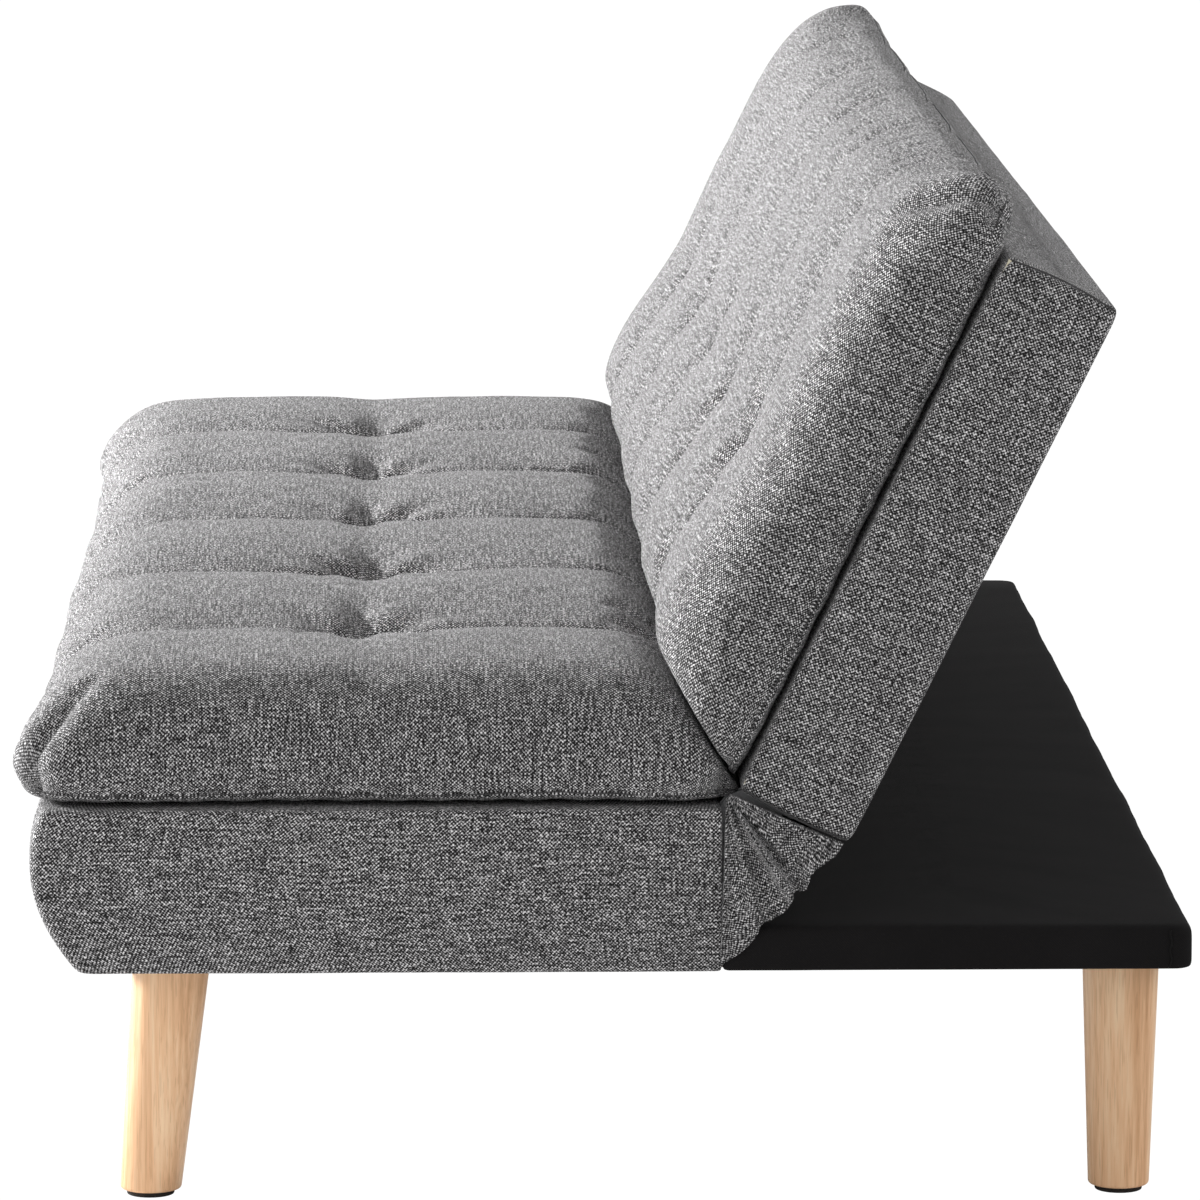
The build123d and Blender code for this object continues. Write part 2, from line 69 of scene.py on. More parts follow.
# --------------------------------------------------------------- materials
class Nodes:
    """Small helper that writes a procedural material."""

    def __init__(self, name):
        self.mat = bpy.data.materials.new(name)
        self.mat.use_nodes = True
        self.nt = self.mat.node_tree
        self.nt.nodes.clear()
        self.out = self.nt.nodes.new("ShaderNodeOutputMaterial")
        self.bsdf = self.nt.nodes.new("ShaderNodeBsdfPrincipled")
        self.nt.links.new(self.bsdf.outputs[0], self.out.inputs[0])

    def n(self, kind, **kw):
        nd = self.nt.nodes.new(kind)
        for k, v in kw.items():
            if hasattr(nd, k):
                setattr(nd, k, v)
            else:
                nd.inputs[k.replace("_", " ")].default_value = v
        return nd

    def link(self, a, b):
        self.nt.links.new(a, b)

    def math(self, op, a, b=None, clamp=False):
        nd = self.nt.nodes.new("ShaderNodeMath")
        nd.operation = op
        nd.use_clamp = clamp
        for i, x in enumerate((a, b)):
            if x is None:
                continue
            if isinstance(x, (int, float)):
                nd.inputs[i].default_value = x
            else:
                self.link(x, nd.inputs[i])
        return nd.outputs[0]

    def scaled(self, vec, s):
        nd = self.nt.nodes.new("ShaderNodeMapping")
        nd.inputs["Scale"].default_value = s
        self.link(vec, nd.inputs["Vector"])
        return nd.outputs[0]

    def noise(self, vec, s, detail=2.0, rough=0.5, dim="3D"):
        nd = self.nt.nodes.new("ShaderNodeTexNoise")
        nd.noise_dimensions = dim
        nd.inputs["Scale"].default_value = 1.0
        nd.inputs["Detail"].default_value = detail
        nd.inputs["Roughness"].default_value = rough
        self.link(self.scaled(vec, s), nd.inputs["Vector"])
        return nd.outputs[0]

    def ramp(self, fac, stops):
        nd = self.nt.nodes.new("ShaderNodeValToRGB")
        cr = nd.color_ramp
        while len(cr.elements) > 1:
            cr.elements.remove(cr.elements[-1])
        cr.elements[0].position = stops[0][0]
        cr.elements[0].color = (*stops[0][1], 1)
        for p, c in stops[1:]:
            e = cr.elements.new(p)
            e.color = (*c, 1)
        self.link(fac, nd.inputs[0])
        return nd.outputs[0]

    def bump(self, height, strength, distance, normal=None):
        nd = self.nt.nodes.new("ShaderNodeBump")
        nd.inputs["Strength"].default_value = strength
        nd.inputs["Distance"].default_value = distance
        self.link(height, nd.inputs["Height"])
        if normal is not None:
            self.link(normal, nd.inputs["Normal"])
        return nd.outputs[0]

    def coords(self, which):
        if which == "weave":
            nd = self.nt.nodes.new("ShaderNodeUVMap")
            nd.uv_map = "weave"
            return nd.outputs[0]
        nd = self.nt.nodes.new("ShaderNodeTexCoord")
        return nd.outputs["Object"]


def grey_weave(name="grey_weave", shade=1.0):
    m = Nodes(name)
    uv = m.coords("weave")
    # plain weave of thick yarns, with slubs that run along single yarns both ways
    weft = m.noise(uv, (45.0, 420.0, 1.0), 2.0, 0.6)
    warp = m.noise(uv, (420.0, 45.0, 1.0), 2.0, 0.6)
    grain = m.noise(uv, (500.0, 600.0, 1.0), 2.0, 0.6)
    patch = m.noise(uv, (9.0, 9.0, 1.0), 3.0, 0.55)
    pitch = 2 * math.pi / 0.0027
    pu = m.math("ADD", m.math("MULTIPLY", sep(m, uv, 0), pitch), m.math("ADD", m.math("MULTIPLY", warp, 2.0), m.math("MULTIPLY", m.math("ADD", patch, m.math("MULTIPLY", grain, 0.35)), 8.0)))
    pv = m.math("ADD", m.math("MULTIPLY", sep(m, uv, 1), pitch), m.math("ADD", m.math("MULTIPLY", weft, 2.0), m.math("MULTIPLY", grain, 2.8)))
    wave = m.math("MULTIPLY", m.math("SINE", pu), m.math("SINE", pv))
    fac = m.math("ADD", m.math("MULTIPLY", wave, 0.30), 0.46)
    for part, amount in ((weft, 0.56), (warp, 0.36), (grain, 1.60), (patch, 0.05)):
        fac = m.math("ADD", fac, m.math("MULTIPLY", m.math("SUBTRACT", part, 0.5), amount))
    k = shade
    col = m.ramp(
        fac,
        [
            (0.24, (0.004 * k, 0.0039 * k, 0.004 * k)),
            (0.40, (0.024 * k, 0.0234 * k, 0.0238 * k)),
            (0.54, (0.140 * k, 0.1367 * k, 0.1385 * k)),
            (0.68, (0.37 * k, 0.362 * k, 0.367 * k)),
            (0.86, (0.82 * k, 0.81 * k, 0.815 * k)),
        ],
    )
    m.link(col, m.bsdf.inputs["Base Color"])
    height = m.math("ADD", m.math("MULTIPLY", wave, 0.5), m.math("MULTIPLY", fac, 0.6))
    m.link(m.bump(height, 0.6, 0.0006), m.bsdf.inputs["Normal"])
    m.link(m.math("ADD", m.math("MULTIPLY", grain, 0.12), 0.82), m.bsdf.inputs["Roughness"])
    m.bsdf.inputs["Specular IOR Level"].default_value = 0.18
    m.bsdf.inputs["Sheen Weight"].default_value = 0.12
    m.bsdf.inputs["Sheen Roughness"].default_value = 0.5
    return m.mat


def sep(m, vec, i):
    nd = m.nt.nodes.new("ShaderNodeSeparateXYZ")
    m.link(vec, nd.inputs[0])
    return nd.outputs[i]


def black_twill(name="black_twill"):
    m = Nodes(name)
    uv = m.coords("weave")
    u, v = sep(m, uv, 0), sep(m, uv, 1)
    diag = m.math("SINE", m.math("MULTIPLY", m.math("ADD", u, v), 2 * math.pi / 0.0018))
    fine = m.noise(uv, (900.0, 900.0, 1.0), 2.0, 0.5)
    patch = m.noise(uv, (14.0, 14.0, 1.0), 3.0, 0.6)
    fac = m.math("ADD", m.math("MULTIPLY", diag, 0.14), m.math("MULTIPLY", fine, 0.55))
    fac = m.math("ADD", fac, m.math("MULTIPLY", patch, 0.35))
    col = m.ramp(
        fac,
        [
            (0.2, (0.0055, 0.0050, 0.0052)),
            (0.5, (0.0092, 0.0084, 0.0087)),
            (0.8, (0.0165, 0.0150, 0.0155)),
        ],
    )
    m.link(col, m.bsdf.inputs["Base Color"])
    m.link(m.bump(fac, 0.35, 0.0005), m.bsdf.inputs["Normal"])
    m.link(m.math("ADD", m.math("MULTIPLY", fine, 0.15), 0.78), m.bsdf.inputs["Roughness"])
    m.bsdf.inputs["Specular IOR Level"].default_value = 0.12
    return m.mat


def nonwoven(name, lo, hi, scale=500.0):
    m = Nodes(name)
    co = m.coords("Object")
    a = m.noise(co, (scale, scale, scale), 3.0, 0.6)
    b = m.noise(co, (40.0, 40.0, 40.0), 2.0, 0.5)
    fac = m.math("ADD", m.math("MULTIPLY", a, 0.7), m.math("MULTIPLY", b, 0.3))
    m.link(m.ramp(fac, [(0.3, lo), (0.7, hi)]), m.bsdf.inputs["Base Color"])
    m.link(m.bump(fac, 0.4, 0.0006), m.bsdf.inputs["Normal"])
    m.link(m.math("ADD", m.math("MULTIPLY", a, 0.1), 0.85), m.bsdf.inputs["Roughness"])
    m.bsdf.inputs["Specular IOR Level"].default_value = 0.15
    return m.mat


def timber(name, dark, mid, light, along="z", ring=26.0, rough=0.45):
    m = Nodes(name)
    co = m.coords("Object")
    s = {"x": (0.035, 1, 1), "y": (1, 0.035, 1), "z": (1, 1, 0.035)}[along]
    warp = m.noise(co, tuple(6.0 * k for k in s), 2.0, 0.5)
    grain = m.noise(co, tuple(ring * 9.0 * k for k in s), 4.0, 0.6)
    band = m.noise(co, tuple(ring * k for k in s), 3.0, 0.55)
    pores = m.noise(co, tuple(900.0 * k for k in s), 1.0, 0.5)
    fac = m.math("ADD", m.math("MULTIPLY", band, 0.45), m.math("MULTIPLY", grain, 0.40))
    fac = m.math("ADD", fac, m.math("MULTIPLY", warp, 0.15))
    col = m.ramp(fac, [(0.40, dark), (0.5, mid), (0.60, light)])
    fleck = m.ramp(pores, [(0.0, (0.55, 0.50, 0.45)), (0.36, (0.72, 0.66, 0.60)), (0.43, (1, 1, 1))])
    mix = m.nt.nodes.new("ShaderNodeMix")
    mix.data_type = "RGBA"
    mix.blend_type = "MULTIPLY"
    mix.inputs["Factor"].default_value = 0.40
    m.link(col, mix.inputs["A"])
    m.link(fleck, mix.inputs["B"])
    m.link(mix.outputs["Result"], m.bsdf.inputs["Base Color"])
    m.link(m.bump(m.math("ADD", fac, m.math("MULTIPLY", pores, 0.3)), 0.12, 0.0005), m.bsdf.inputs["Normal"])
    m.link(m.math("ADD", m.math("MULTIPLY", grain, 0.16), rough - 0.08), m.bsdf.inputs["Roughness"])
    m.bsdf.inputs["Specular IOR Level"].default_value = 0.35
    return m.mat


def steel(name, lo, hi, rough=0.35):
    m = Nodes(name)
    co = m.coords("Object")
    a = m.noise(co, (60.0, 900.0, 900.0), 3.0, 0.6)
    b = m.noise(co, (25.0, 25.0, 25.0), 3.0, 0.6)
    fac = m.math("ADD", m.math("MULTIPLY", a, 0.5), m.math("MULTIPLY", b, 0.5))
    m.link(m.ramp(fac, [(0.35, lo), (0.65, hi)]), m.bsdf.inputs["Base Color"])
    m.link(m.math("ADD", m.math("MULTIPLY", a, 0.25), rough - 0.1), m.bsdf.inputs["Roughness"])
    m.link(m.bump(a, 0.08, 0.0003), m.bsdf.inputs["Normal"])
    m.bsdf.inputs["Metallic"].default_value = 1.0
    return m.mat


GREY = grey_weave(shade=1.22)
BLACK = black_twill()
NONWOVEN = nonwoven("black_nonwoven", (0.008, 0.008, 0.008), (0.022, 0.022, 0.023))
BEECH = timber("beech", (0.70, 0.39, 0.20), (0.87, 0.54, 0.31), (0.97, 0.69, 0.44), "z")
THREAD = nonwoven("seam_thread", (0.035, 0.034, 0.035), (0.090, 0.088, 0.089), 1500.0)
BLACK_THREAD = nonwoven("black_thread", (0.006, 0.006, 0.006), (0.014, 0.013, 0.013), 1500.0)
BY_SLOT = {
    "beech": BEECH,
    "pine": timber("pine", (0.55, 0.37, 0.19), (0.70, 0.51, 0.30), (0.80, 0.63, 0.42), "x", 18.0, 0.6),
    "hardboard": nonwoven("hardboard", (0.20, 0.12, 0.06), (0.34, 0.21, 0.12), 350.0),
    "glide": nonwoven("glide_felt", (0.020, 0.018, 0.017), (0.050, 0.046, 0.042), 800.0),
    "black_steel": steel("black_steel", (0.02, 0.02, 0.02), (0.05, 0.05, 0.05), 0.5),
    "zinc_steel": steel("zinc_steel", (0.50, 0.50, 0.48), (0.68, 0.68, 0.66)),
    "hinge_steel": steel("hinge_steel", (0.30, 0.30, 0.31), (0.48, 0.48, 0.49), 0.45),
    "spring_steel": steel("spring_steel", (0.26, 0.27, 0.28), (0.42, 0.43, 0.44), 0.4),
    "foam": nonwoven("foam", (0.62, 0.57, 0.42), (0.80, 0.76, 0.62), 900.0),
    "wadding": nonwoven("wadding", (0.66, 0.66, 0.64), (0.85, 0.85, 0.83), 260.0),
    "webbing": nonwoven("webbing", (0.05, 0.05, 0.05), (0.12, 0.12, 0.12), 700.0),
    "black_nonwoven": NONWOVEN,
    "black_fabric": NONWOVEN,
    "grey_fabric": nonwoven("grey_under", (0.12, 0.12, 0.12), (0.26, 0.26, 0.26), 900.0),
}
for node, obj in frame["nodes"].items():
    mat = BY_SLOT[SLOT_OF[node]]
    obj.data.materials.clear()
    obj.data.materials.append(mat)

# ----------------------------------------------------------- mesh helpers
SY, SZ = 0.1752, 0.2609            # lower rear edge of the back slab
TILT = math.radians(26.4)
SS = np.array([0.0, math.sin(TILT), math.cos(TILT)])      # up the slab
NN = np.array([0.0, -math.cos(TILT), math.sin(TILT)])     # out of its front


def back_point(x, yp, zp):
    """Slab coordinates (x, y' to the rear, z' up the slab) to the row frame."""
    x, yp, zp = np.broadcast_arrays(np.asarray(x, float), yp, zp)
    out = np.zeros(x.shape + (3,))
    out[..., 0] = x
    out[..., 1] = SY + zp * SS[1] - yp * NN[1]
    out[..., 2] = SZ + zp * SS[2] - yp * NN[2]
    return out


def fbm(pts, scale, seed=0.0, octaves=3):
    """Smooth noise in about -1..1 at an (..., 3) array of points."""
    flat = np.asarray(pts, float).reshape(-1, 3) * scale + seed
    out = np.empty(len(flat))
    for i, p in enumerate(flat):
        out[i] = noise.fractal(Vector(p), 1.0, 2.0, octaves)
    return out.reshape(np.asarray(pts).shape[:-1])


def new_object(name, verts, faces, uvs, mat, smooth=True):
    """uvs is one pair per vertex or one per face corner, in metres along the cloth."""
    me = bpy.data.meshes.new(name)
    me.from_pydata([tuple(v) for v in np.asarray(verts)], [], faces)
    me.update()
    if uvs is not None:
        layer = me.uv_layers.new(name="weave")
        idx = np.empty(len(me.loops), np.int64)
        me.loops.foreach_get("vertex_index", idx)
        uvs = np.asarray(uvs, np.float32)
        if len(uvs) == len(verts):
            uvs = uvs[idx]
        layer.data.foreach_set("uv", uvs.ravel())
    me.materials.append(mat)
    if smooth:
        me.polygons.foreach_set("use_smooth", np.ones(len(me.polygons), bool))
    ob = bpy.data.objects.new(name, me)
    bpy.context.scene.collection.objects.link(ob)
    return ob


def arc_uv(V):
    """Arc lengths over a (rows, cols, 3) grid, counted from its middle."""
    du = np.linalg.norm(np.diff(V, axis=1), axis=2)
    dv = np.linalg.norm(np.diff(V, axis=0), axis=2)
    u = np.concatenate([np.zeros((V.shape[0], 1)), np.cumsum(du, 1)], 1)
    v = np.concatenate([np.zeros((1, V.shape[1])), np.cumsum(dv, 0)], 0)
    u -= u[:, V.shape[1] // 2][:, None]
    v -= v[V.shape[0] // 2][None]
    return np.stack([u, v], -1)


def grid_faces(r, c, off=0, flip=False, wrap=False):
    faces = []
    cc = c if wrap else c - 1
    for i in range(r - 1):
        for j in range(cc):
            k = (j + 1) % c
            f = (off + i * c + j, off + i * c + k, off + (i + 1) * c + k, off + (i + 1) * c + j)
            faces.append(f[::-1] if flip else f)
    return faces


def spread(length, fine, step):
    n = max(2, int(round((length - 2 * fine[-1]) / step)))
    mid = np.linspace(fine[-1], length - fine[-1], n + 1)[1:-1]
    return np.array(list(fine) + list(mid) + [length - f for f in fine[::-1]])


def smin(a, b, k):
    h = np.clip(0.5 + 0.5 * (b - a) / k, 0, 1)
    return b * (1 - h) + a * h - k * h * (1 - h)


def sstep(x):
    x = np.clip(x, 0, 1)
    return x * x * (3 - 2 * x)


def tube(name, pts, r, mat, body, closed=False):
    cu = bpy.data.curves.new(name, "CURVE")
    cu.dimensions = "3D"
    sp = cu.splines.new("POLY")
    sp.points.add(len(pts) - 1)
    for p, q in zip(sp.points, pts):
        p.co = (*q, 1.0)
    sp.use_cyclic_u = closed
    cu.bevel_depth = r
    cu.bevel_resolution = 2
    cu.materials.append(mat)
    ob = bpy.data.objects.new(name, cu)
    bpy.context.scene.collection.objects.link(ob)
    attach(ob, body)
    return ob


def soften(ob, levels=1):
    md = ob.modifiers.new("smooth", "SUBSURF")
    md.levels = levels
    md.render_levels = levels
    return ob


# ----------------------------------------------- tufted pillow-top cushions
FINE = [0.0, 0.0007, 0.0022, 0.0050, 0.0090, 0.0140, 0.020, 0.0275, 0.036, 0.045]
TUFTS = np.array([-0.56, -0.28, 0.0, 0.28, 0.56])
PITCH = 0.28


def pillow(name, half, length, v_tuft, seam, top, bottom, place, deep, seed, ends, low=0.0):
    """Two panels sewn together all round, stuffed, and pulled down at a row of tufts.
    Works in (u along the sofa, v across the cushion, h through it)."""
    us = spread(2 * half, FINE, 0.0085) - half
    vs = spread(length, FINE, 0.0085)
    U, V = np.meshgrid(us, vs)
    du = half - np.abs(U)
    dv = np.minimum(V, length - V)
    # round the plan's corners: the square at each corner becomes a quarter disc
    rc = 0.050
    a, b = np.clip(rc - du, 0, None), np.clip(rc - dv, 0, None)
    big, hyp = np.maximum(a, b), np.hypot(a, b)
    k = np.where(hyp > 1e-9, big / np.maximum(hyp, 1e-9), 1.0)
    Up = U - np.sign(U) * (a - a * k)
    Vp = V + np.where(V < length / 2, 1, -1) * (b - b * k)
    d = np.minimum(du, dv)
    ds = np.maximum(smin(du, dv, 0.05), 0) * 0.55 + d * 0.45
    near = np.abs(U[..., None] - TUFTS).min(-1)      # to the nearest tuft column
    # sides pull in between the corners, and a little more at each column
    edge_v, edge_u = np.exp(-dv / 0.07), np.exp(-du / 0.07)
    pull = 0.007 * (1 - (U / half) ** 8) + 0.004 * np.exp(-((near / 0.03) ** 2))
    Vp = Vp + np.where(V < length / 2, 1, -1) * pull * edge_v
    Up = Up - np.sign(U) * 0.006 * np.clip(np.sin(np.pi * V / length), 0, 1) ** 0.7 * edge_u
    wu, wv = np.clip(1 - du / 0.06, 0, 1) ** 2, np.clip(1 - dv / 0.06, 0, 1) ** 2
    wl = np.maximum(np.hypot(wu, wv), 1e-6)
    P0 = np.stack([Up, Vp, np.zeros_like(Up)], -1)
    n1 = fbm(P0, 5.0, seed)
    n2 = fbm(P0, 17.0, seed + 31.0)

    def dome(dd, r, p):
        t = np.clip(dd / r, 0, 1)
        return (1 - (1 - t) ** p) ** (1 / p)

    vn = V / length
    seam_h = seam(vn, U)
    re_f, re_r = ends
    r_edge = re_f + (re_r - re_f) * sstep((vn - 0.5) / 0.5)
    r_side = 0.085
    f = dome(smin(dv / r_edge, du / r_side, 0.35).clip(0), 1.0, 2.15)
    crown = 0.010 * (1 - np.abs(U / half) ** 5) * (1 - np.abs(2 * vn - 1) ** 3)
    H = seam_h + (top - seam_h) * f + crown + low * f * np.exp(-(((V - 0.105) / 0.075) ** 2))
    inner = sstep(ds / 0.10)
    # rolls between the tuft columns, a cross valley through the tufts, and the pulled tufts
    vt = V - v_tuft
    wob = 0.010 * fbm(np.stack([U * 0 + np.round(U / PITCH), V, U * 0], -1), 7.0, seed + 5.0)
    nearw = np.abs((U + wob)[..., None] - TUFTS).min(-1)
    xn = np.clip(nearw / (PITCH / 2), 0, 1)
    roll = (1 - (1 - xn) ** 2) ** 0.72
    yn = np.clip(np.abs(vt + 0.5 * wob) / 0.115, 0, 1)
    roll2 = (1 - (1 - yn) ** 2) ** 0.72
    fade = np.exp(-((vt / 0.11) ** 2))
    g1 = (1 - roll) * (0.0100 + 0.0070 * fade)
    side = np.exp(-((near / 0.065) ** 1.5))
    g2 = (1 - roll2) * (0.0045 + 0.0085 * side)
    r = np.hypot(near, vt)
    g3 = 0.0100 * np.exp(-((r / 0.018) ** 1.25))
    # creases that run out of each tuft
    ang = np.arctan2(vt, near)
    star = np.cos(ang * 7.0 + n1 * 2.5) * np.exp(-(((r - 0.040) / 0.032) ** 2)) * 0.0020
    H = H - deep * (inner * (g1 + g2 + g3) + star * inner)
    # the filling isn't even
    H = H + inner * (0.0024 * n1 + 0.0009 * n2)
    # puckers along the sewn edge
    run = np.where(dv < du, U, V)
    puck = np.sin(run * 2 * np.pi / 0.034 + 3.0 * n1) * np.exp(-((d - 0.016) / 0.014) ** 2)
    H = H + 0.0011 * puck
    hb = dome(smin(dv / 0.050, du / 0.055, 0.35).clip(0), 1.0, 2.3)
    B = seam_h - (seam_h - bottom) * hb + 0.0008 * puck
    lat = 0.0105 * (f / 0.30) * np.exp(1 - f / 0.30) * (1 + 0.25 * n1)
    Ut = Up + np.sign(U) * lat * wu / wl * np.minimum(wl * 1.5, 1)
    Vt = Vp + np.where(V < length / 2, -1, 1) * lat * wv / wl * np.minimum(wl * 1.5, 1)
    topV = place(Ut, Vt, H)
    botV = place(Up, Vp, B)
    R, C = U.shape
    inside = np.ones((R, C), bool)
    inside[0], inside[-1], inside[:, 0], inside[:, -1] = False, False, False, False
    idx_top = np.arange(R * C).reshape(R, C)
    idx_bot = idx_top.copy()
    idx_bot[inside] = R * C + np.arange(inside.sum())
    verts = np.concatenate([topV.reshape(-1, 3), botV[inside]])
    faces = grid_faces(R, C)
    uv_top, uv_bot = arc_uv(topV).reshape(-1, 2), arc_uv(botV) + 5.0
    uv = [uv_top[q] for fc in faces for q in fc]
    for i in range(R - 1):
        for j in range(C - 1):
            quad = ((i, j), (i + 1, j), (i + 1, j + 1), (i, j + 1))
            faces.append(tuple(idx_bot[q] for q in quad))
            uv.extend(uv_bot[q] for q in quad)
    faces = [tuple(int(q) for q in fc) for fc in faces]
    ring = np.concatenate([topV[0, :-1], topV[:-1, -1], topV[-1, :0:-1], topV[:0:-1, 0]])
    # held while it is stuffed: the tufts, the sewn edge and the panel underneath
    hold = np.concatenate([np.where(np.hypot(near, vt).ravel() < 0.011, 1.0, 0.0), np.ones(inside.sum())])
    hold[: R * C][~inside.ravel()] = 1.0
    # channels, pressed in after the stuffing: one number for each vertex, in metres
    wide = np.exp(-((near / 0.090) ** 1.6))
    after = sstep(ds / 0.065) * (
        (1 - roll) * (0.0110 + 0.0020 * fade) + (1 - roll2) * (0.0022 + 0.0068 * wide)
    ) + 0.0050 * inner * np.exp(-((r / 0.020) ** 1.3)) + 1.3 * star * inner
    channel = np.concatenate([after.ravel(), np.zeros(inside.sum())])
    return verts, faces, uv, ring, hold, channel


def stuffed(ob, hold, cap, frames=20):
    """Blow the sewn shell up a little, as cloth, with the vertices in hold kept
    (hold is a weight for each vertex), and return the settled points."""
    me = ob.data
    base = np.empty(len(me.vertices) * 3)
    me.vertices.foreach_get("co", base)
    base = base.reshape(-1, 3)
    vg = ob.vertex_groups.new(name="held")
    for w in np.unique(hold[hold > 0]):
        vg.add([int(i) for i in np.nonzero(hold == w)[0]], float(w), "REPLACE")
    md = ob.modifiers.new("stuffing", "CLOTH")
    st = md.settings
    st.quality = 6
    st.mass = 0.25
    st.air_damping = 4.0
    st.tension_stiffness = st.compression_stiffness = 22.0
    st.shear_stiffness = 8.0
    st.bending_stiffness = 0.35
    st.use_pressure = True
    st.uniform_pressure_force = 5.0
    st.shrink_min = -0.030
    st.effector_weights.gravity = 0.0
    st.vertex_group_mass = "held"
    md.collision_settings.use_collision = False
    md.collision_settings.use_self_collision = False
    md.point_cache.frame_start = 1
    md.point_cache.frame_end = frames
    sc = bpy.context.scene
    sc.frame_start, sc.frame_end = 1, frames
    for fr in range(1, frames + 1):
        sc.frame_set(fr)
        bpy.context.view_layer.update()
    got = ob.evaluated_get(bpy.context.evaluated_depsgraph_get()).to_mesh()
    pts = np.empty(len(got.vertices) * 3)
    got.vertices.foreach_get("co", pts)
    pts = pts.reshape(-1, 3)
    ob.modifiers.remove(md)
    ob.vertex_groups.clear()
    sc.frame_set(1)
    move = pts - base
    far = np.linalg.norm(move, axis=1)
    print("stuffing moved", ob.name, "mean", round(float(far.mean()), 5), "max", round(float(far.max()), 5))
    return base + move * (np.minimum(far, cap) / np.maximum(far, 1e-9))[:, None]


# where the two cushions press on each other
TOUCH = np.array([0.097, 0.303])
TOUCH_N = np.array([0.851, 0.526])


def press(verts, side):
    """Keep a cushion on its own side of the plane where the two meet."""
    q = (verts[:, 1:] - TOUCH) @ TOUCH_N
    if side < 0:
        over = np.clip(q + 0.0012, 0, None)
    else:
        over = np.clip(q - 0.0012, None, 0)
    out = verts.copy()
    out[:, 1:] -= over[:, None] * TOUCH_N
    return out


def seat_place(u, v, h):
    return np.stack([u, -0.4115 + v, h], -1)


def back_place(u, v, h):
    return back_point(u, -h, -0.008 + v)


verts, faces, uv, ring, seat_hold, seat_channel = pillow(
    "seat_pillow", 0.829, 0.516, 0.2435,
    lambda vn, U: 0.2985 + 0.0012 * np.sin(vn * 17 + 2 * U) + 0 * U,
    0.3715, 0.2893, seat_place, 0.22, 11.0, (0.085, 0.120),
)
verts = press(verts, -1)
seat_pillow = new_object("seat_pillow", verts, faces, uv, GREY)
seat_ring = press(ring, -1)
verts, faces, uv, ring, back_hold, back_channel = pillow(
    "back_pillow", 0.829, 0.471, 0.217,
    lambda vn, U: 0.0985 + 0.0015 * np.sin(vn * 15 + U) + 0.006 * sstep((vn - 0.8) / 0.2) + 0 * U,
    0.1655, 0.0888, back_place, 0.10, 47.0, (0.100, 0.085), 0.011,
)
verts = press(verts, 1)
back_pillow = new_object("back_pillow", verts, faces, uv, GREY)
back_ring = press(ring, 1)

for ob, hold, channel, out, side in (
    (seat_pillow, seat_hold, seat_channel, np.array([0.0, 0.0, 1.0]), -1),
    (back_pillow, back_hold, back_channel, NN, 1),
):
    pts = stuffed(ob, hold, 0.009)
    pts = press(pts - channel[:, None] * out, side)
    ob.data.vertices.foreach_set("co", pts.ravel())
    ob.data.update()

for ob, body, nodes, ring, nm in (
    (seat_pillow, "base", ("seat_cushion_cover", "seat_cushion_core"), seat_ring, "seat_pillow_seam"),
    (back_pillow, "backrest", ("back_cushion_cover", "back_cushion_core"), back_ring, "back_pillow_seam"),
):
    soften(ob)
    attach(ob, body)
    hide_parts(*nodes)
    seam = tube(nm, ring, 0.0004, THREAD, body, closed=True)


# ------------------------------------------------------ wrapped box shapes
def rounded_loop(x0, x1, y0, y1, radii, counts):
    """Plan loop, counter-clockwise from the corner (x0, y0); radii at
    (x0,y0), (x1,y0), (x1,y1), (x0,y1); counts are the steps along x and y."""
    corners = [
        (x0 + radii[0], y0 + radii[0], radii[0], 180),
        (x1 - radii[1], y0 + radii[1], radii[1], 270),
        (x1 - radii[2], y1 - radii[2], radii[2], 0),
        (x0 + radii[3], y1 - radii[3], radii[3], 90),
    ]
    pts = []
    for i, (cx, cy, r, a0) in enumerate(corners):
        for a in np.linspace(a0, a0 + 90, 7):
            pts.append((cx + r * math.cos(math.radians(a)), cy + r * math.sin(math.radians(a))))
        nx = corners[(i + 1) % 4]
        b = (nx[0] + nx[2] * math.cos(math.radians(nx[3])), nx[1] + nx[2] * math.sin(math.radians(nx[3])))
        n = counts[i % 2]
        last = pts[-1]
        for t in np.linspace(0, 1, n + 1)[1:-1]:
            pts.append((last[0] + (b[0] - last[0]) * t, last[1] + (b[1] - last[1]) * t))
    return np.array(pts)


def wrapped(name, loops, mat, ny, cap_first=False, cap_last=False):
    """Skin over a stack of loops of equal length."""
    L = np.array(loops)
    R, C, _ = L.shape
    seg = np.linalg.norm(np.roll(L, -1, 1) - L, axis=2)
    mid = np.argmax([s.sum() for s in seg])
    u = np.concatenate([[0], np.cumsum(seg[mid])[:-1]])
    v = np.concatenate([[0], np.cumsum(np.linalg.norm(np.diff(L, axis=0), axis=2).mean(1))])
    uv = np.stack(np.meshgrid(u, v), -1).reshape(-1, 2)
    faces = grid_faces(R, C, wrap=True)
    for row, want, turn in ((0, cap_first, -1), (R - 1, cap_last, 1)):
        # the innermost loop is a narrow slit: zip its two long sides together
        m = C - 1 - (ny - 1) // 2
        for k in range(C // 2 if want else 0):
            f = []
            for q in (m + k, m + k + 1, m - k - 1, m - k):
                q = row * C + q % C
                if q not in f:
                    f.append(q)
            faces.append(tuple(f[::turn]))
    ob = new_object(name, L.reshape(-1, 3), faces, uv, mat)
    # the last column of faces closes the loop, so its far side carries on past the seam
    me = ob.data
    lay = me.uv_layers["weave"]
    total = u[-1] + seg[mid][-1]
    for p in me.polygons:
        if len(p.vertices) == 4 and {vi % C for vi in p.vertices} == {0, C - 1}:
            for li in p.loop_indices:
                if me.loops[li].vertex_index % C == 0:
                    lay.data[li].uv[0] += total
    return ob


